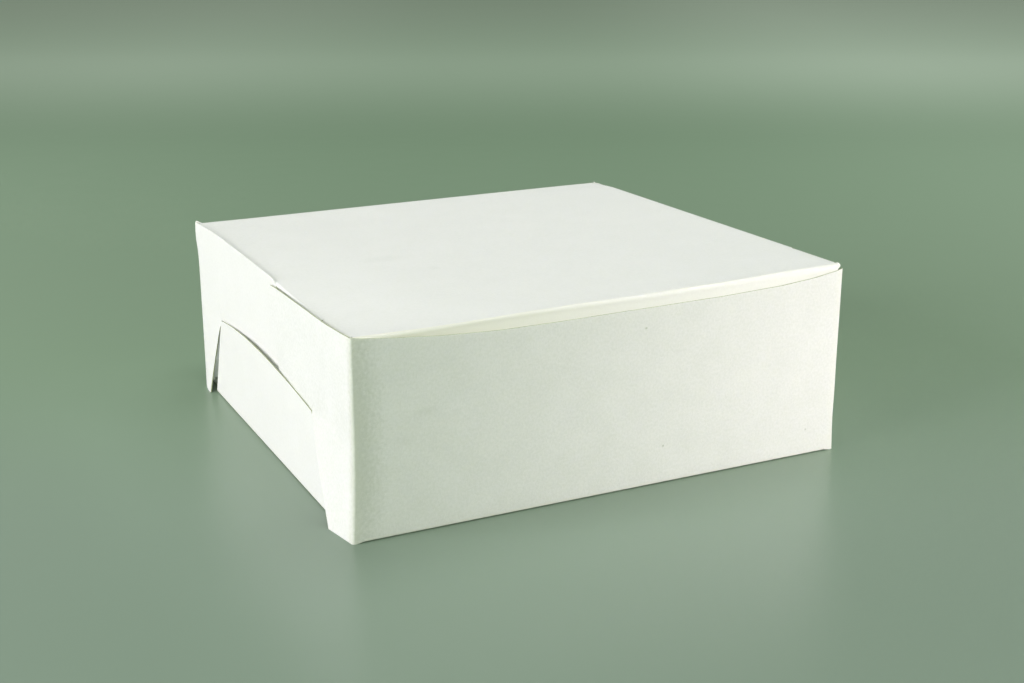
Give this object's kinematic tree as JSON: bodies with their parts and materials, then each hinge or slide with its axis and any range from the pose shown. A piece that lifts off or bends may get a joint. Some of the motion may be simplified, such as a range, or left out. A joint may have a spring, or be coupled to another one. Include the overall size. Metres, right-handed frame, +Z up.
{
  "type": "paper cake box",
  "caption": "Square, shallow white paper cake box, folded from one creased sheet, with a hinged tuck lid, slitted corner wings and side flaps that lock over them.",
  "frame": {"origin": "on the floor under the middle of the closed box", "axes": "+X to the right of someone who faces the front wall, +Y to the back, where the lid is hinged, +Z up"},
  "size_m": [0.209, 0.2, 0.077],
  "materials": {
    "white_board": "matte, uncoated white board with a faint fibre mottle",
    "crease": "matte, pressed and slightly creamier than the faces"
  },
  "bodies": {
    "base": {"bottom_panel": "white_board", "front_panel_crease": "crease", "back_panel_crease": "crease", "side_flap_crease_left": "crease", "side_flap_crease_right": "crease"},
    "front_wall": {"front_panel": "white_board", "front_wing_left": "white_board", "front_wing_right": "white_board", "front_wing_crease_left": "crease", "front_wing_crease_right": "crease"},
    "back_wall": {"back_panel": "white_board", "back_wing_left": "white_board", "back_wing_right": "white_board", "back_wing_crease_left": "crease", "back_wing_crease_right": "crease", "lid_crease": "crease"},
    "lid": {"lid_panel": "white_board", "tuck_crease": "crease", "lid_ear_crease_left": "crease", "lid_ear_crease_right": "crease"},
    "tuck_flap": {"lid_tuck_flap": "white_board"},
    "left_ear": {"lid_ear_left": "white_board"},
    "right_ear": {"lid_ear_right": "white_board"},
    "left_side_flap": {"side_flap_left": "white_board"},
    "right_side_flap": {"side_flap_right": "white_board"}
  },
  "joints": [
    {"name": "front_wall_fold", "type": "hinge", "parent": "base", "child": "front_wall", "pos_m": [0, -0.09978, 0.00022], "axis": [1, 0, 0], "range_deg": [0, 90]},
    {"name": "back_wall_fold", "type": "hinge", "parent": "base", "child": "back_wall", "pos_m": [0, 0.09978, 0.00022], "axis": [-1, 0, 0], "range_deg": [0, 90]},
    {"name": "lid_fold", "type": "hinge", "parent": "back_wall", "child": "lid", "pos_m": [0, 0.09978, 0.07677], "axis": [-1, 0, 0], "range_deg": [0, 200]},
    {"name": "tuck_fold", "type": "hinge", "parent": "lid", "child": "tuck_flap", "pos_m": [0, -0.09903, 0.07602], "axis": [1, 0, 0], "range_deg": [0, 85]},
    {"name": "left_ear_fold", "type": "hinge", "parent": "lid", "child": "left_ear", "pos_m": [-0.10203, 0, 0.07602], "axis": [0, -1, 0], "range_deg": [0, 90]},
    {"name": "right_ear_fold", "type": "hinge", "parent": "lid", "child": "right_ear", "pos_m": [0.10203, 0, 0.07602], "axis": [0, 1, 0], "range_deg": [0, 90]},
    {"name": "left_side_flap_fold", "type": "hinge", "parent": "base", "child": "left_side_flap", "pos_m": [-0.10428, 0, 0.00022], "axis": [0, -1, 0], "range_deg": [0, 90]},
    {"name": "right_side_flap_fold", "type": "hinge", "parent": "base", "child": "right_side_flap", "pos_m": [0.10428, 0, 0.00022], "axis": [0, 1, 0], "range_deg": [0, 90]}
  ]
}
